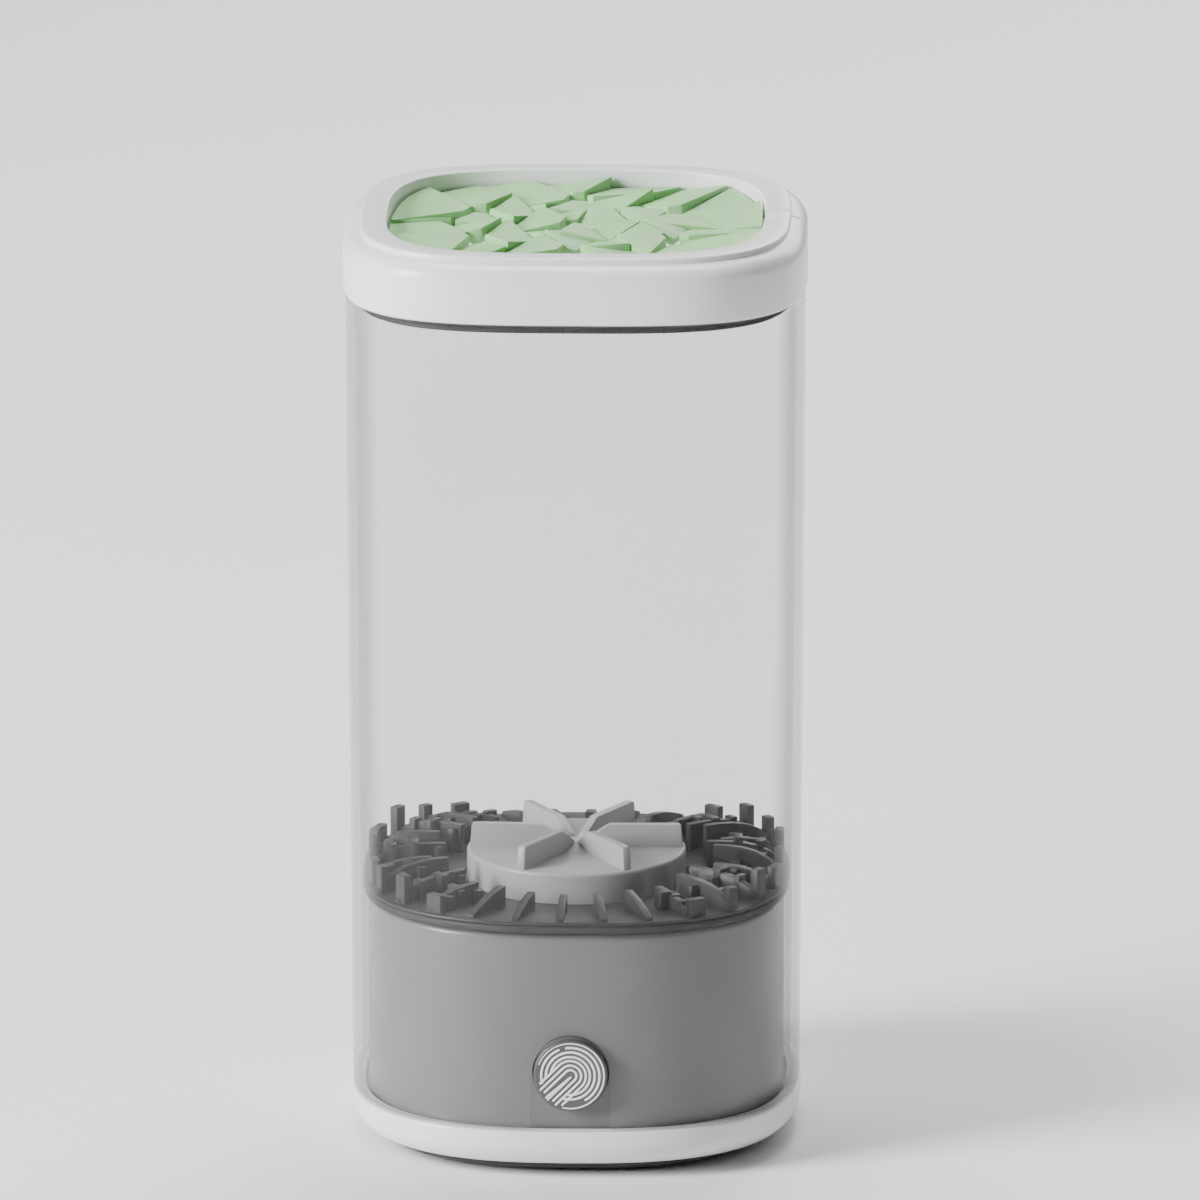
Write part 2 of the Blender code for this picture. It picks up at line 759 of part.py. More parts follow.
def make_holder():
    """The silicone sheet: at each hub a hole, and slits that divide the sheet round it into petals."""
    half = OPENING_HALF - GAP
    low, high = LID_TOP_Z - 4.5 * MM, LID_TOP_Z - 1.7 * MM
    holder = squared("brush_holder", [(0, low), (half, low), (half, high), (0, high)], GREEN)
    slits = bmesh.new()
    for index, hub in hubs():
        for angle in petal_lines(index):
            along = polar(1, angle, 0)
            across = polar(SLIT / 2, angle + math.pi / 2, 0)
            flat = [hub + along * r + across * side for r in (1 * MM, SLIT_REACH) for side in (-1, 1)]
            hull(slits, [Vector((p.x, p.y, z)) for p in flat for z in (low - 2 * MM, high + 2 * MM)])
    openings = place("petal_slits", slits, None, helper=True)
    combine(holder, openings, "DIFFERENCE")
    for index, hub in hubs():
        hole = cylinder(f"hub_hole_{index}", HUB_HOLE, 12 * MM, None,
                        hub + Vector((0, 0, low - 3 * MM)), helper=True)
        combine(holder, hole, "DIFFERENCE")


base_shell = make_base_shell()
make_bottom_plate()
make_feet_and_screws()
motor_housing = make_housing()
make_charge_port(motor_housing, base_shell)
make_electronics()
make_button()
make_motor()
make_motor_mount(motor_housing)
make_seals()
make_bowl()
make_disc()
make_tank()
make_lid()
make_holder()
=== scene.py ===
"""The looks of the brush cleaner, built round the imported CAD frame.

The shells, the silicone, the scrub bowl and all the materials are made here.
"""

import json
import math

import bmesh
import bpy
from mathutils import Matrix, Vector


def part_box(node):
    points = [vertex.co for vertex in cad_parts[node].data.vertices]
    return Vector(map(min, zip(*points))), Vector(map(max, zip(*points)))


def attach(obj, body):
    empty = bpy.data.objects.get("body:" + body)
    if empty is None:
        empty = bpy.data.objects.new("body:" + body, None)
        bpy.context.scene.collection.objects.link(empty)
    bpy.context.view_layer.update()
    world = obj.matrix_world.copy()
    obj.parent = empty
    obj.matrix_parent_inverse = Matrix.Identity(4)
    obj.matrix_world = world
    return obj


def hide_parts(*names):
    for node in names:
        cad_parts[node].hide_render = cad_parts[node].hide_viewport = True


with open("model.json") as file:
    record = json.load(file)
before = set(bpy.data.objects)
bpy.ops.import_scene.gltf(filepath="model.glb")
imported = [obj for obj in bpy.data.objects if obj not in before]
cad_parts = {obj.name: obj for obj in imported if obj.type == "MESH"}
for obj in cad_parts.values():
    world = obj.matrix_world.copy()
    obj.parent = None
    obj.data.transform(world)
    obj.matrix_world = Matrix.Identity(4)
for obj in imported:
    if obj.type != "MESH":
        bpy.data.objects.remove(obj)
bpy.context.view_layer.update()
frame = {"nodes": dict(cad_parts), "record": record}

MM = 0.001
LID_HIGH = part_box("lid_frame")[1]
BASE_LOW, BASE_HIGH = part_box("base_shell")
TANK_LOW, TANK_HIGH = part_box("wash_tank")
HOUSING_LOW, HOUSING_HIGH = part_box("motor_housing")
BOWL_LOW, BOWL_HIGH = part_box("scrub_bowl")
DISC_LOW, DISC_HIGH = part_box("scrub_disc")
HOLDER_LOW, HOLDER_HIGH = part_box("brush_holder")
BUTTON_LOW, BUTTON_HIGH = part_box("touch_button")
SOCKET_LOW, SOCKET_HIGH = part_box("charge_socket")

# The outline's squareness, as in the frame: nearly round corners low down, squarer at the lid.
BASE_EXPONENT = 2.55
LID_EXPONENT = 3.3
EASE_START_Z = 60 * MM
EASE_END_Z = 160 * MM

LID_HALF = LID_HIGH.x
LID_TOP = LID_HIGH.z
LID_BOTTOM = TANK_HIGH.z + 0.3 * MM
OPENING_HALF = 35 * MM
RING_HALF = OPENING_HALF + 4.8 * MM
TANK_WALL = 1.7 * MM
BAND_HALF = BASE_HIGH.x
HOUSING_HALF = HOUSING_HIGH.x
HOUSING_TOP = HOUSING_HIGH.z - 2 * MM
BOWL_HALF = BOWL_HIGH.x
BOWL_SHELF = 49 * MM
WELL_RADIUS = 21.3 * MM
DISC_RADIUS = DISC_HIGH.x
DISC_RIM = 53.1 * MM
FIN_TOP = DISC_HIGH.z
BUTTON_RADIUS = 6.9 * MM
BUTTON_Z = (BUTTON_LOW.z + BUTTON_HIGH.z) / 2
BUTTON_FACE = BUTTON_LOW.y
NOTCH_HALF = 7.4 * MM
PORT_Z = (SOCKET_LOW.z + SOCKET_HIGH.z) / 2
HUB_RING = 21 * MM
HUB_HOLE = 2.6 * MM

# How many steps the squarish shells and the round pieces take in a full turn.
STEPS = 192
ROUND = 96
CREASE = 35


# ---------------------------------------------------------------- materials
def graph(name):
    """A new material, with its node tree and its shader."""
    material = bpy.data.materials.new(name)
    material.use_nodes = True
    tree = material.node_tree
    return material, tree, tree.nodes["Principled BSDF"]


def noise(tree, scale, detail=3.0):
    place = tree.nodes.new("ShaderNodeTexCoord")
    made = tree.nodes.new("ShaderNodeTexNoise")
    made.inputs["Scale"].default_value = scale
    made.inputs["Detail"].default_value = detail
    tree.links.new(place.outputs["Object"], made.inputs["Vector"])
    return made.outputs["Fac"]


def ramp(tree, fac, low, high):
    """Blends two colours by a factor that runs mostly from 0.3 to 0.7."""
    made = tree.nodes.new("ShaderNodeValToRGB")
    made.color_ramp.elements[0].position = 0.3
    made.color_ramp.elements[1].position = 0.7
    made.color_ramp.elements[0].color = (*low, 1)
    made.color_ramp.elements[1].color = (*high, 1)
    tree.links.new(fac, made.inputs["Fac"])
    return made.outputs["Color"]


def spread(tree, fac, low, high):
    """Stretches the same factor over a range of values."""
    made = tree.nodes.new("ShaderNodeMapRange")
    made.inputs["From Min"].default_value = 0.3
    made.inputs["From Max"].default_value = 0.7
    made.inputs["To Min"].default_value = low
    made.inputs["To Max"].default_value = high
    tree.links.new(fac, made.inputs["Value"])
    return made.outputs["Result"]


def moulded(name, colour, vary, rough, grain, depth, metallic=0.0, coat=0.0):
    """A moulded or cast surface: cloudy colour, uneven gloss and a fine grain."""
    material, tree, shader = graph(name)
    low = tuple(c * (1 - vary) for c in colour)
    high = tuple(min(c * (1 + vary), 1) for c in colour)
    tree.links.new(ramp(tree, noise(tree, 35), low, high), shader.inputs["Base Color"])
    tree.links.new(spread(tree, noise(tree, 120), *rough), shader.inputs["Roughness"])
    bump = tree.nodes.new("ShaderNodeBump")
    bump.inputs["Strength"].default_value = 0.2
    bump.inputs["Distance"].default_value = depth
    tree.links.new(noise(tree, grain, 2.0), bump.inputs["Height"])
    tree.links.new(bump.outputs["Normal"], shader.inputs["Normal"])
    shader.inputs["Metallic"].default_value = metallic
    shader.inputs["Coat Weight"].default_value = coat
    return material


def clear(name):
    """Clear plastic: nearly invisible face on, pale grey and glossy at grazing angles."""
    material, tree, shader = graph(name)
    haze = ramp(tree, noise(tree, 12), (0.2, 0.205, 0.21), (0.27, 0.275, 0.28))
    tree.links.new(haze, shader.inputs["Base Color"])
    tree.links.new(spread(tree, noise(tree, 60), 0.03, 0.09), shader.inputs["Roughness"])
    facing = tree.nodes.new("ShaderNodeLayerWeight")
    facing.inputs["Blend"].default_value = 0.5
    edge = tree.nodes.new("ShaderNodeMapRange")
    edge.inputs["From Min"].default_value = 0.58
    edge.inputs["From Max"].default_value = 1.0
    edge.inputs["To Min"].default_value = 0.07
    edge.inputs["To Max"].default_value = 0.8
    tree.links.new(facing.outputs["Facing"], edge.inputs["Value"])
    tree.links.new(edge.outputs["Result"], shader.inputs["Alpha"])
    shader.inputs["IOR"].default_value = 1.5
    return material


# Each moulded row: name, colour, how much it varies, range of roughness, grain scale and depth.
MATERIALS = {
    "white_shell": moulded("white_satin", (0.82, 0.82, 0.83), 0.02, (0.28, 0.36), 2500, 0.000006, coat=0.15),
    "grey_shell": moulded("grey_satin", (0.165, 0.165, 0.167), 0.03, (0.3, 0.4), 2500, 0.000006, coat=0.1),
    "clear_tank": clear("clear_plastic"),
    "green_silicone": moulded("green_silicone_skin", (0.3, 0.58, 0.25), 0.05, (0.45, 0.6), 1800, 0.00001),
    "dark_silicone": moulded("dark_silicone_skin", (0.02, 0.02, 0.022), 0.12, (0.4, 0.55), 1800, 0.00001),
    # Painted shade: the disc is white plastic, given a mid grey that stands in for the shade it sits in.
    "scrub_disc": moulded("disc_satin_painted_shade", (0.38, 0.38, 0.384), 0.03, (0.35, 0.48), 2200, 0.00001),
    "button_cap": moulded("key_satin", (0.09, 0.09, 0.092), 0.03, (0.3, 0.4), 2500, 0.00002),
    "rubber": moulded("black_rubber", (0.02, 0.02, 0.021), 0.15, (0.6, 0.75), 1500, 0.00005),
    "steel": moulded("plain_steel", (0.58, 0.58, 0.6), 0.05, (0.22, 0.38), 900, 0.00002, metallic=1.0),
    "circuit_board": moulded("solder_mask", (0.03, 0.2, 0.09), 0.1, (0.3, 0.45), 800, 0.00003),
    "battery_wrap": moulded("shrink_film", (0.06, 0.15, 0.42), 0.06, (0.25, 0.35), 300, 0.00008),
    "copper_winding": moulded(
        "enamelled_wire", (0.6, 0.27, 0.1), 0.1, (0.25, 0.4), 700, 0.0001, metallic=1.0
    ),
    "black_plastic": moulded("black_moulded", (0.03, 0.03, 0.032), 0.12, (0.45, 0.6), 1600, 0.00004),
    "ridges": moulded("white_ink", (0.85, 0.85, 0.86), 0.02, (0.4, 0.5), 2500, 0.00001),
    "foot": moulded("grey_foot_rubber", (0.25, 0.25, 0.25), 0.08, (0.55, 0.7), 1500, 0.00004),
}


# ---------------------------------------------------------------- shapes
def exponent_at(z):
    share = (z - EASE_START_Z) / (EASE_END_Z - EASE_START_Z)
    return BASE_EXPONENT + (LID_EXPONENT - BASE_EXPONENT) * min(max(share, 0.0), 1.0)


def reach(angle, z):
    """The outline's distance from the axis at an angle, for a half width of 1."""
    exponent = exponent_at(z)
    total = abs(math.cos(angle)) ** exponent + abs(math.sin(angle)) ** exponent
    return total ** (-1 / exponent)


def polar(radius, angle, z=0.0):
    return Vector((radius * math.cos(angle), radius * math.sin(angle), z))


def arc(centre, radius, start, end, count=8):
    """Points on an arc of the (radius, z) plane, angles in degrees."""
    for i in range(count + 1):
        angle = math.radians(start + (end - start) * i / count)
        yield (centre[0] + radius * math.cos(angle), centre[1] + radius * math.sin(angle))


def spun(profile, steps):
    """A bmesh of a closed (radius, z) profile turned about Z."""
    bm = bmesh.new()
    corners = [bm.verts.new((radius, 0, z)) for radius, z in profile]
    edges = [bm.edges.new((a, b)) for a, b in zip(corners, corners[1:] + corners[:1])]
    bmesh.ops.spin(
        bm,
        geom=corners + edges,
        cent=(0, 0, 0),
        axis=(0, 0, 1),
        angle=2 * math.pi,
        steps=steps,
        use_merge=True,
    )
    bmesh.ops.remove_doubles(bm, verts=bm.verts, dist=1e-7)
    bmesh.ops.dissolve_degenerate(bm, edges=bm.edges, dist=1e-7)
    return bm


def square_off(bm, round_inside=0.0, full_from=0.0):
    """Turns a round bmesh squarish; it stays round inside the radius round_inside."""
    for vertex in bm.verts:
        radius = math.hypot(vertex.co.x, vertex.co.y)
        if radius < 1e-6:
            continue
        share = 1.0
        if full_from > round_inside:
            share = min(max((radius - round_inside) / (full_from - round_inside), 0.0), 1.0)
        angle = math.atan2(vertex.co.y, vertex.co.x)
        scale = 1 + (reach(angle, vertex.co.z) - 1) * share
        vertex.co.x *= scale
        vertex.co.y *= scale


def hull(bm, points):
    """Adds the convex solid round some points."""
    corners = [bm.verts.new(p) for p in points]
    found = bmesh.ops.convex_hull(bm, input=corners)
    spare = [g for g in found["geom_interior"] if isinstance(g, bmesh.types.BMVert)]
    if spare:
        bmesh.ops.delete(bm, geom=spare, context="VERTS")


def bar(bm, low, high, turn=0.0, at=(0, 0, 0)):
    """Adds a box, turned about Z and moved."""
    spin, shift = Matrix.Rotation(turn, 3, "Z"), Vector(at)
    corners = [
        spin @ Vector((x, y, z)) + shift
        for x in (low[0], high[0])
        for y in (low[1], high[1])
        for z in (low[2], high[2])
    ]
    hull(bm, corners)


def finish(name, bm, material, crease=CREASE):
    """Makes a bmesh an object, smooth up to the crease angle."""
    mesh = bpy.data.meshes.new(name)
    bmesh.ops.recalc_face_normals(bm, faces=bm.faces)
    bm.to_mesh(mesh)
    bm.free()
    mesh.materials.append(MATERIALS[material])
    made = bpy.data.objects.new(name, mesh)
    bpy.context.scene.collection.objects.link(made)
    if crease:
        mesh.shade_smooth()
        mesh.set_sharp_from_angle(angle=math.radians(crease))
    return made


def settle(made):
    """Applies the modifiers, so that the piece is a plain mesh."""
    bpy.context.view_layer.update()
    graph_now = bpy.context.evaluated_depsgraph_get()
    mesh = bpy.data.meshes.new_from_object(made.evaluated_get(graph_now), depsgraph=graph_now)
    if not mesh.polygons:
        raise RuntimeError(f"{made.name} came out empty")
    made.modifiers.clear()
    made.data = mesh
    mesh.shade_smooth()
    mesh.set_sharp_from_angle(angle=math.radians(CREASE))


def cut(made, bm):
    """Cuts a bmesh's solids out of a piece."""
    tool = finish("cutting_tool", bm, "white_shell", crease=0)
    modifier = made.modifiers.new("cut", "BOOLEAN")
    modifier.operation = "DIFFERENCE"
    modifier.solver = "EXACT"
    modifier.object = tool
    settle(made)
    bpy.data.objects.remove(tool)


def rounded(made, width, angle):
    """Rounds the edges that are sharper than an angle."""
    modifier = made.modifiers.new("rounded_edges", "BEVEL")
    modifier.width = width
    modifier.segments = 2
    modifier.limit_method = "ANGLE"
    modifier.angle_limit = math.radians(angle)
    settle(made)


def join(piece, body, slot, *nodes):
    """Puts a piece on its body and hides the nodes it replaces; the slot argument is not used."""
    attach(piece, body)
    if nodes:
        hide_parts(*nodes)


def squared(name, profile, material, round_inside=0.0, full_from=0.0):
    """A turned profile made squarish."""
    bm = spun(profile, STEPS)
    square_off(bm, round_inside, full_from)
    return finish(name, bm, material)


# ---------------------------------------------------------------- base
def make_band():
    lip, foot, rounding, edge = BAND_HALF - 2.5 * MM, 36.8 * MM, 4.6 * MM, 0.5 * MM
    low, high = BASE_LOW.z + 0.9 * MM, BASE_HIGH.z
    floor = low + 2.1 * MM
    profile = [
        (foot, low + edge),
        (foot + edge, low),
        *arc((BAND_HALF - rounding, low + rounding), rounding, -90, 0, 12),
        *arc((BAND_HALF - edge, high - edge), edge, 0, 90, 4),
        (lip, high),
        (lip, floor),
        (foot, floor),
    ]
    band = squared("base_band", profile, "white_shell")
    cut(band, port_cutter())
    join(band, "base", "white_shell", "base_shell")


def port_cutter():
    """The charging slot: a flat-sided bar with round ends, through both walls at the back."""
    bm = bmesh.new()
    half, middle, inner, outer = 2.0 * MM, 2.9 * MM, 34 * MM, 47 * MM
    outline = []
    for side in (1, -1):
        for i in range(13):
            angle = math.pi * (i / 12 - 0.5) + (0 if side > 0 else math.pi)
            outline.append((side * middle + half * math.cos(angle), PORT_Z + half * math.sin(angle)))
    hull(bm, [Vector((x, y, z)) for x, z in outline for y in (inner, outer)])
    return bm


def make_housing():
    wall, ceiling = 1.8 * MM, HOUSING_TOP - 2.2 * MM
    low, edge = HOUSING_LOW.z, 1.2 * MM
    bore, boss, chamfer = 5.2 * MM, 7.6 * MM, 0.3 * MM
    profile = [
        (bore, ceiling),
        (bore, HOUSING_HIGH.z),
        (boss - chamfer, HOUSING_HIGH.z),
        (boss, HOUSING_HIGH.z - chamfer),
        (boss, HOUSING_TOP),
        *arc((HOUSING_HALF - edge, HOUSING_TOP - edge), edge, 90, 0, 6),
        (HOUSING_HALF, low),
        (HOUSING_HALF - wall, low),
        (HOUSING_HALF - wall, ceiling),
    ]
    housing = squared("grey_housing", profile, "grey_shell", round_inside=8 * MM, full_from=30 * MM)
    window, hole = bmesh.new(), BUTTON_RADIUS + 0.25 * MM
    place = Matrix.Translation((0, -40 * MM, BUTTON_Z)) @ Matrix.Rotation(math.pi / 2, 4, "X")
    bmesh.ops.create_cone(
        window, cap_ends=True, segments=ROUND, radius1=hole, radius2=hole, depth=10 * MM, matrix=place
    )
    cut(housing, window)
    cut(housing, port_cutter())
    join(housing, "base", "grey_shell", "motor_housing")


def make_feet():
    for node in frame["nodes"]:
        if not node.startswith("foot_"):
            continue
        low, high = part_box(node)
        radius, edge = (high.x - low.x) / 2, 0.7 * MM
        profile = [
            (0, low.z),
            (radius - 1.0 * MM, low.z),
            *arc((radius - edge, low.z + edge), edge, -80, 0, 6),
            (radius, high.z),
            (0, high.z),
        ]
        bm = spun(profile, 48)
        bmesh.ops.translate(bm, verts=bm.verts, vec=((low.x + high.x) / 2, (low.y + high.y) / 2, 0))
        join(finish(f"{node}_pad", bm, "foot"), "base", "rubber", node)


def make_tank_gasket():
    low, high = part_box("tank_seal")
    half, lip, inner = high.x, 0.5 * MM, HOUSING_HALF - 2.6 * MM
    profile = [
        (inner, low.z),
        *arc((half - lip, low.z + lip), lip, -90, 0, 4),
        *arc((half - lip, high.z - lip), lip, 0, 90, 4),
        (inner, high.z),
    ]
    join(squared("tank_gasket", profile, "rubber"), "base", "rubber", "tank_seal")


# ---------------------------------------------------------------- key
def make_key():
    depth = BUTTON_HIGH.y - BUTTON_LOW.y
    edge, stem = 0.5 * MM, 1.5 * MM
    flange, flange_front, flange_back = BUTTON_RADIUS + 1.3 * MM, 4.9 * MM, 5.8 * MM
    profile = [
        (0, 0.15 * MM),
        (BUTTON_RADIUS - 1.0 * MM, 0.12 * MM),
        *arc((BUTTON_RADIUS - edge, edge), edge, -90, 0, 6),
        (BUTTON_RADIUS, flange_front),
        (flange, flange_front),
        (flange, flange_back),
        (stem, flange_back),
        (stem, depth),
        (0, depth),
    ]
    bm = spun(profile, ROUND)
    stand = Matrix.Translation((0, BUTTON_FACE, BUTTON_Z)) @ Matrix.Rotation(-math.pi / 2, 4, "X")
    bmesh.ops.transform(bm, matrix=stand, verts=bm.verts)
    join(finish("key_cap", bm, "button_cap"), "button", "button_cap", "touch_button")


def ridge_paths():
    """The ridges of a generic fingertip print, as lists of (x, z) about the key's middle."""
    pitch, edge, lean = 0.88 * MM, 6.35 * MM, math.radians(225)
    along, across = polar(1, lean), polar(1, lean + math.pi / 2)
    for k in range(4):
        radius = pitch * (k + 0.15) + 0.12 * MM
        leg = math.sqrt(edge ** 2 - radius ** 2) - (0.5 * MM if k % 2 else 0)
        path = [along * leg * (1 - i / 8) - across * radius for i in range(8)]
        for i in range(25):
            path.append(polar(radius, lean - math.pi / 2 - math.pi * (i / 24) + 2 * math.pi))
        path += [along * leg * (i + 1) / 8 + across * radius for i in range(8)]
        yield path if k else path[:1] + path[-9:]
    # The outer ridges: where each one starts and ends in degrees, and its radius in pitches.
    arcs = ((-100, 172, 4.15), (-112, 188, 5.15), (-60, 100, 6.15), (112, 196, 6.15), (-104, 160, 7.15))
    for start, end, ring in arcs:
        yield [polar(pitch * ring, math.radians(start + (end - start) * i / 48)) for i in range(49)]


def make_ridges():
    bm = bmesh.new()
    half, rise, sunk, sides = 0.21 * MM, 0.13 * MM, 0.12 * MM, 8
    for path in ridge_paths():
        rows = []
        for i, point in enumerate(path):
            ahead = path[min(i + 1, len(path) - 1)] - path[max(i - 1, 0)]
            side = Vector((-ahead.y, ahead.x, 0)).normalized()
            row = []
            for n in range(sides):
                turn = 2 * math.pi * n / sides
                spot = point + side * half * math.cos(turn)
                depth = BUTTON_FACE + sunk - rise * math.sin(turn)
                row.append(bm.verts.new((spot.x, depth, BUTTON_Z + spot.y)))
            rows.append(row)
        for a, b in zip(rows, rows[1:]):
            for n in range(sides):
                m = (n + 1) % sides
                bm.faces.new((a[n], a[m], b[m], b[n]))
        bm.faces.new(rows[0])
        bm.faces.new(rows[-1])
    join(finish("key_ridges", bm, "ridges"), "button", "button_cap")


# ---------------------------------------------------------------- bowl and disc
def make_bowl():
    """A thin shelf round the disc.

    Its fins slope outwards at the front and back, and turn into posts at the sides.
    """
    under, well = BOWL_LOW.z, WELL_RADIUS
    flange, lip = BOWL_SHELF - 0.5 * MM, 0.3 * MM
    full_width, skirt = 34 * MM, HOUSING_HALF - 2.9 * MM
    profile = [
        (well, under),
        (well, BOWL_SHELF - 1.7 * MM),
        (well + 0.3 * MM, BOWL_SHELF - 1.4 * MM),
        (well + 3 * MM, BOWL_SHELF - 1.3 * MM),
        (full_width, BOWL_SHELF),
        *arc((BOWL_HALF - lip, BOWL_SHELF - lip), lip, 90, 0, 4),
        (BOWL_HALF, flange),
        (skirt, flange),
        (skirt, under),
    ]
    bowl = squared("bowl_body", profile, "dark_silicone", well + 2 * MM, full_width)
    join(bowl, "bowl", "dark_silicone", "scrub_bowl")
    fins = bmesh.new()
    half_thick, count, root = 0.7 * MM, 30, BOWL_SHELF - 0.3 * MM
    for i in range(count):
        angle = 2 * math.pi * i / count + math.radians(3)
        sideways = math.cos(angle) ** 2
        outer = (BOWL_HALF - 0.9 * MM) * reach(angle, BOWL_SHELF)
        inner = 29.5 * MM - 5.0 * MM * sideways * (1, 0.35, 0.7)[i % 3]
        top = BOWL_SHELF + 2.7 * MM + sideways * (2.2, 1.2, 3.0)[i % 3] * MM
        slope = 1.7 if sideways < 0.3 else 3.5
        across = polar(half_thick, angle + math.pi / 2)
        curve = [polar(inner, angle, BOWL_SHELF - 1.9 * MM), polar(inner, angle, top)]
        for step in range(1, 6):
            share = step / 5
            height = top - (top - BOWL_SHELF - 0.6 * MM) * share ** slope
            curve.append(polar(inner + (outer - inner) * share, angle, height))
        curve.append(polar(outer, angle, root))
        hull(fins, [p + across * side for p in curve for side in (-1, 1)])
        if sideways < 0.25:
            continue
        # Posts of uneven height along the fin, then a short cross wall.
        tall = BOWL_SHELF + 2.7 * MM + sideways * (4.4, 1.8, 3.0)[i % 3] * MM
        for n, (share, rise) in enumerate(((0.1, 0.62), (0.4, 0.8), (0.68, 0.7), (0.93, 1.0))):
            radius = inner + (outer - inner) * share
            height = BOWL_SHELF + (tall - BOWL_SHELF) * rise
            length = (1.9, 2.6, 1.5)[(n + i) % 3] * MM
            thick = (0.65, 0.8)[n % 2] * MM
            foot = (-thick, -half_thick, BOWL_SHELF - 1.7 * MM)
            bar(fins, foot, (thick, length, height), angle, polar(radius, angle))
        foot = (-2.6 * MM, -2.4 * MM, BOWL_SHELF - 1.2 * MM)
        head = (-1.3 * MM, 0, BOWL_SHELF + 3.2 * MM)
        bar(fins, foot, head, angle, polar((inner + outer) / 2, angle))
    made = finish("bowl_fins", fins, "dark_silicone")
    rounded(made, 0.12 * MM, 40)
    join(made, "bowl", "dark_silicone")


def make_disc():
    edge, skirt, inside = 0.7 * MM, DISC_LOW.z, DISC_RADIUS - 1.5 * MM
    under, hub, hub_low = DISC_RIM - 1.8 * MM, 4.4 * MM, DISC_RIM - 4.0 * MM
    bore, bore_top = 1.6 * MM, DISC_RIM - 2.4 * MM
    profile = [
        (0, DISC_RIM + 1.6 * MM),
        (1.4 * MM, DISC_RIM + 1.5 * MM),
        (3.6 * MM, DISC_RIM + 0.7 * MM),
        (5.6 * MM, DISC_RIM + 0.1 * MM),
        (8 * MM, DISC_RIM),
        *arc((DISC_RADIUS - edge, DISC_RIM - edge), edge, 90, 0, 6),
        (DISC_RADIUS, skirt),
        (inside, skirt),
        (inside, under),
        (hub, under),
        (hub, hub_low),
        (bore, hub_low),
        (bore, bore_top),
        (0, bore_top),
    ]
    join(finish("disc_body", spun(profile, ROUND), "scrub_disc"), "disc", "scrub_disc", "scrub_disc")
    fins, half_thick = bmesh.new(), 0.8 * MM
    for i in range(6):
        angle = math.pi * i / 3
        across = polar(half_thick, angle + math.pi / 2)
        outline = (
            (1.2 * MM, DISC_RIM - 0.8 * MM),
            (2.2 * MM, DISC_RIM + 1.8 * MM),
            (6.2 * MM, FIN_TOP - 0.1 * MM),
            (DISC_RADIUS - 1.3 * MM, FIN_TOP),
            (DISC_RADIUS - 0.9 * MM, FIN_TOP - 0.5 * MM),
            (DISC_RADIUS - 0.5 * MM, DISC_RIM - 0.8 * MM),
        )
        hull(fins, [polar(r, angle, z) + across * side for r, z in outline for side in (-1, 1)])
    made = finish("disc_fins", fins, "scrub_disc")
    rounded(made, 0.15 * MM, 40)
    join(made, "disc", "scrub_disc")


# ---------------------------------------------------------------- tank
def make_tank():
    low, high = TANK_LOW.z, TANK_HIGH.z
    lid_end = TANK_HIGH.x
    foot_end = lid_end - 0.8 * MM
    lip = 0.5 * MM
    rings = 24

    def half(z):
        return foot_end + (lid_end - foot_end) * (z - low) / (high - low)

    heights = [low + lip + (high - low - 2 * lip) * i / rings for i in range(rings + 1)]
    profile = [(half(low) - lip, low)]
    profile += [(half(z), z) for z in heights]
    profile += [(half(high) - lip, high), (half(high) - TANK_WALL + lip, high)]
    profile += [(half(z) - TANK_WALL, z) for z in reversed(heights)]
    profile += [(half(low) - TANK_WALL + lip, low)]
    tank = squared("tank_sleeve", profile, "clear_tank")
    notch = bmesh.new()
    outline = [(NOTCH_HALF * side, low - 4 * MM) for side in (-1, 1)]
    for i in range(33):
        angle = math.pi * i / 32
        outline.append((NOTCH_HALF * math.cos(angle), BUTTON_Z + NOTCH_HALF * math.sin(angle)))
    outer, inner = -48 * MM, -36 * MM
    hull(notch, [Vector((x, y, z)) for x, z in outline for y in (outer, inner)])
    cut(tank, notch)
    join(tank, "tank", "clear_tank", "wash_tank")


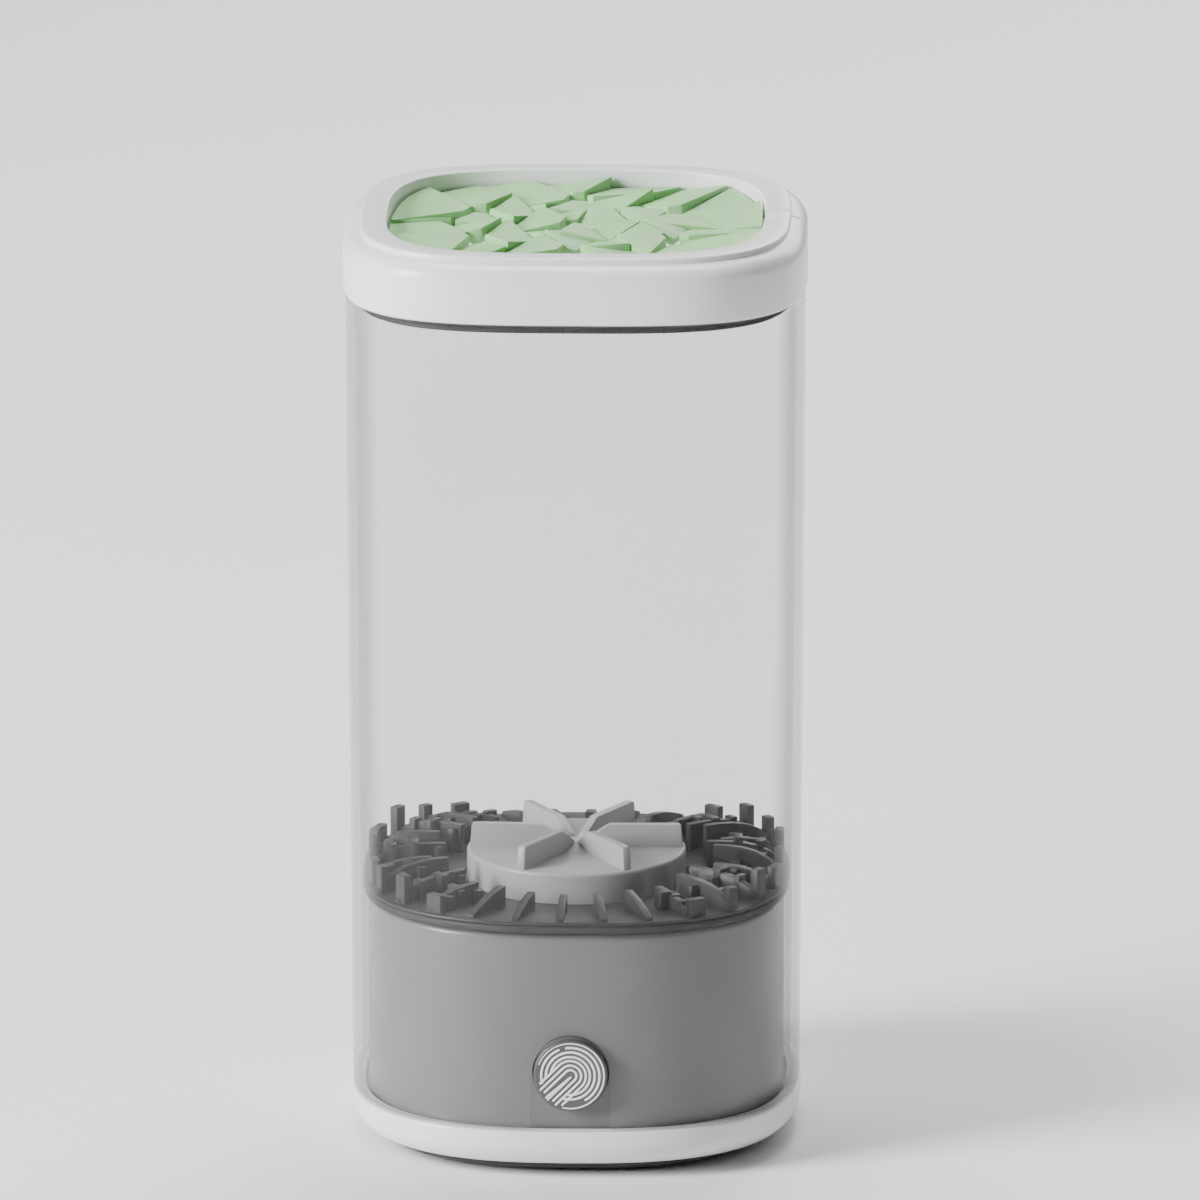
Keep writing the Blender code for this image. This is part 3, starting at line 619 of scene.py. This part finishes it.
# ---------------------------------------------------------------- lid
def make_lid():
    ledge, shoulder = OPENING_HALF - 2 * MM, 3.0 * MM
    ledge_low, ledge_top = LID_TOP - 6.2 * MM, LID_TOP - 4.8 * MM
    plug = TANK_HIGH.x - TANK_WALL - 1.2 * MM
    plug_low, plug_inside = LID_BOTTOM - 1.9 * MM, plug - 1.8 * MM
    profile = [
        (ledge, ledge_low),
        (ledge, ledge_top),
        (OPENING_HALF, ledge_top),
        *arc((OPENING_HALF + 0.35 * MM, LID_TOP - 0.35 * MM), 0.35 * MM, 180, 90, 4),
        *arc((RING_HALF - 0.4 * MM, LID_TOP - 0.4 * MM), 0.4 * MM, 90, 10, 4),
        (RING_HALF + 0.05 * MM, LID_TOP - 1.1 * MM),
        *arc((LID_HALF - shoulder, LID_TOP - 1.2 * MM - shoulder), shoulder, 88, 0, 12),
        *arc((LID_HALF - 0.5 * MM, LID_BOTTOM + 0.5 * MM), 0.5 * MM, 0, -90, 4),
        (plug, LID_BOTTOM),
        (plug, plug_low),
        (plug_inside, plug_low),
        (plug_inside, ledge_low),
    ]
    lid = squared("lid_collar", profile, "white_shell")
    # A groove across the rim, then a deeper thumb notch beside it at the opening's edge.
    start, clear_top = OPENING_HALF - 1 * MM, LID_TOP + 2 * MM
    for low, high in (
        ((start, 1.0 * MM, LID_TOP - 1.9 * MM), (LID_HALF - 1.6 * MM, 2.5 * MM, clear_top)),
        ((start, -4.2 * MM, LID_TOP - 2.6 * MM), (OPENING_HALF + 1.8 * MM, 0.9 * MM, clear_top)),
    ):
        tool = bmesh.new()
        bar(tool, low, high)
        cut(lid, tool)
    join(lid, "lid", "white_shell", "lid_frame")
    low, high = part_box("lid_seal")
    lip, inner, groove = 0.25 * MM, plug + 0.3 * MM, high.x - 0.3 * MM
    ring = [
        (inner, low.z),
        *arc((high.x - lip, low.z + lip), lip, -90, 0, 4),
        (groove, (low.z + high.z) / 2),
        *arc((high.x - lip, high.z - lip), lip, 0, 90, 4),
        (inner, high.z),
    ]
    join(squared("lid_seal_ring", ring, "rubber"), "lid", "rubber", "lid_seal")


def clipped(polygon, point, inward):
    """The part of a convex polygon on the inward side of a line through a point."""
    kept = []
    for a, b in zip(polygon, polygon[1:] + polygon[:1]):
        da, db = (a - point).dot(inward), (b - point).dot(inward)
        if da >= 0:
            kept.append(a)
        if da * db < 0:
            kept.append(a + (b - a) * (da / (da - db)))
    return kept


def make_holder():
    """Seven brush slots, each inside a pinwheel of tilted silicone petals, on a slit sheet."""
    half = HOLDER_HIGH.x
    low, skin = HOLDER_LOW.z, HOLDER_LOW.z + 1.0 * MM
    peak = LID_TOP - 1.1 * MM
    margin, slit, petals = 0.4 * MM, 0.7 * MM, 6
    slit_start, slit_end, uneven = 2.1 * MM, 9 * MM, math.radians(9)
    hubs = [Vector((0, 0, 0))] + [polar(HUB_RING, math.radians(30 + 60 * i)) for i in range(6)]
    turns = [2 * math.pi * i / 64 for i in range(64)]
    outline = [polar((half - 0.25 * MM) * reach(turn, LID_TOP), turn) for turn in turns]
    wedges, slits = bmesh.new(), bmesh.new()
    for index, hub in enumerate(hubs):
        cell = outline
        for other in hubs:
            if other is hub:
                continue
            towards = (hub - other).normalized()
            cell = clipped(cell, (hub + other) / 2 + towards * margin / 2, towards)
        start = math.radians(12 if index == 0 else 60 * (index - 1) + 8)
        for n in range(petals):
            swing = uneven * math.sin(2.3 * n + 1.7 * index)
            next_swing = uneven * math.sin(2.3 * ((n + 1) % petals) + 1.7 * index)
            first = start + 2 * math.pi * n / petals + swing
            last = start + 2 * math.pi * (n + 1) / petals + next_swing
            left, right = polar(1, first + math.pi / 2), polar(1, last - math.pi / 2)
            petal = clipped(cell, hub + left * slit / 2, left)
            petal = clipped(petal, hub + right * slit / 2, right)
            middle = polar(1, (first + last) / 2)
            petal = clipped(petal, hub + middle * HUB_HOLE, middle)
            if len(petal) < 3:
                continue
            width = max((p - hub).dot(left) for p in petal)
            far = max((p - hub).dot(middle) for p in petal)
            top = []
            for p in petal:
                across = (p - hub).dot(left) / width
                if (2 * n + index) % 5 < 2:
                    across = 1 - across
                outward = (p - hub).dot(middle) / far
                tallest = (1.0, 0.7)[(n + index) % 2]
                rise = 0.05 + 0.95 * (1 - across) * (0.75 + 0.25 * outward) * tallest
                top.append(Vector((p.x, p.y, skin + (peak - skin) * rise)))
            hull(wedges, top + [Vector((p.x, p.y, skin - 0.5 * MM)) for p in petal])
            along, across = polar(1, first), polar(slit / 2 * 1.6, first + math.pi / 2)
            flat = [hub + along * r + across * s for r in (slit_start, slit_end) for s in (-1, 1)]
            hull(slits, [Vector((p.x, p.y, z)) for p in flat for z in (low - 2 * MM, skin + 2 * MM)])
    sheet = squared("holder_sheet", [(0, low), (half, low), (half, skin), (0, skin)], "green_silicone")
    cut(sheet, slits)
    for hub in hubs:
        hole = bmesh.new()
        place = Matrix.Translation(hub + Vector((0, 0, low)))
        bmesh.ops.create_cone(
            hole, cap_ends=True, segments=32, radius1=HUB_HOLE, radius2=HUB_HOLE, depth=10 * MM, matrix=place
        )
        cut(sheet, hole)
    join(sheet, "holder", "green_silicone", "brush_holder")
    tops = finish("holder_petals", wedges, "green_silicone")
    rounded(tops, 0.1 * MM, 20)
    join(tops, "holder", "green_silicone")


# ---------------------------------------------------------------- studio
def make_studio():
    bpy.ops.mesh.primitive_plane_add(size=14, location=(0, 3, -0.0002))
    floor = bpy.context.object
    floor.name = "studio_floor"
    material, tree, shader = graph("studio_paper")
    paper = ramp(tree, noise(tree, 3), (0.9, 0.9, 0.9), (0.94, 0.94, 0.94))
    tree.links.new(paper, shader.inputs["Base Color"])
    shader.inputs["Roughness"].default_value = 0.9
    shader.inputs["Specular IOR Level"].default_value = 0.1
    floor.data.materials.append(material)

    world = bpy.data.worlds.new("studio")
    bpy.context.scene.world = world
    world.use_nodes = True
    tree = world.node_tree
    sky = tree.nodes["Background"]
    place = tree.nodes.new("ShaderNodeTexCoord")
    split = tree.nodes.new("ShaderNodeSeparateXYZ")
    tree.links.new(place.outputs["Generated"], split.inputs["Vector"])

    def share(axis, low, high, bottom, top):
        """Eases from bottom to top as the direction's axis goes from low to high."""
        made = tree.nodes.new("ShaderNodeMapRange")
        made.interpolation_type = "SMOOTHSTEP"
        for key, value in (("From Min", low), ("From Max", high), ("To Min", bottom), ("To Max", top)):
            made.inputs[key].default_value = value
        tree.links.new(split.outputs[axis], made.inputs["Value"])
        return made.outputs["Result"]

    joined = tree.nodes.new("ShaderNodeMath")
    joined.operation = "MAXIMUM"
    tree.links.new(share("Y", 0.15, 0.6, 0.0, 3.2), joined.inputs[0])
    tree.links.new(share("X", -0.9, 0.3, 1.0, 0.02), joined.inputs[1])
    tree.links.new(joined.outputs["Value"], sky.inputs["Strength"])

    def lamp(name, location, size, energy):
        data = bpy.data.lights.new(name, "AREA")
        data.energy = energy
        data.shape = "RECTANGLE"
        data.size, data.size_y = size
        made = bpy.data.objects.new(name, data)
        made.location = location
        aim = Vector((0, 0, 0.09)) - made.location
        made.rotation_euler = aim.to_track_quat("-Z", "Y").to_euler()
        bpy.context.scene.collection.objects.link(made)

    lamp("key_light", (-1.5, -0.75, 0.8), (0.6, 1.0), 80)
    lamp("top_light", (0.0, 0.5, 1.5), (0.9, 0.9), 22)
    lamp("strip_light", (1.1, -0.49, 0.14), (0.05, 0.9), 2.5)
    lamp("back_light", (0.4, 1.2, 0.7), (0.8, 0.8), 8)

    camera = bpy.data.cameras.new("camera")
    camera.lens, camera.sensor_width, camera.clip_end = 466, 36, 100
    shown = bpy.data.objects.new("camera", camera)
    bpy.context.scene.collection.objects.link(shown)
    distance, tilt, swing = 2.898, 0.2479, math.radians(1.5)
    target = Vector((4.4 * MM, 0, 100.6 * MM))
    level = distance * math.cos(tilt)
    rise = distance * math.sin(tilt)
    shown.location = target + Vector((level * math.sin(swing), -level * math.cos(swing), rise))
    shown.rotation_euler = (target - shown.location).to_track_quat("-Z", "Y").to_euler()
    bpy.context.scene.camera = shown


def dress_frame():
    """Gives the CAD nodes that stay in view their procedural materials."""
    for part in frame["record"]["subparts"]:
        node = frame["nodes"][part["node"]]
        node.data.materials.clear()
        node.data.materials.append(MATERIALS[part["material_slot"]])


make_studio()
dress_frame()
make_band()
make_housing()
make_feet()
make_tank_gasket()
make_key()
make_ridges()
make_bowl()
make_disc()
make_tank()
make_lid()
make_holder()

bpy.context.view_layer.update()
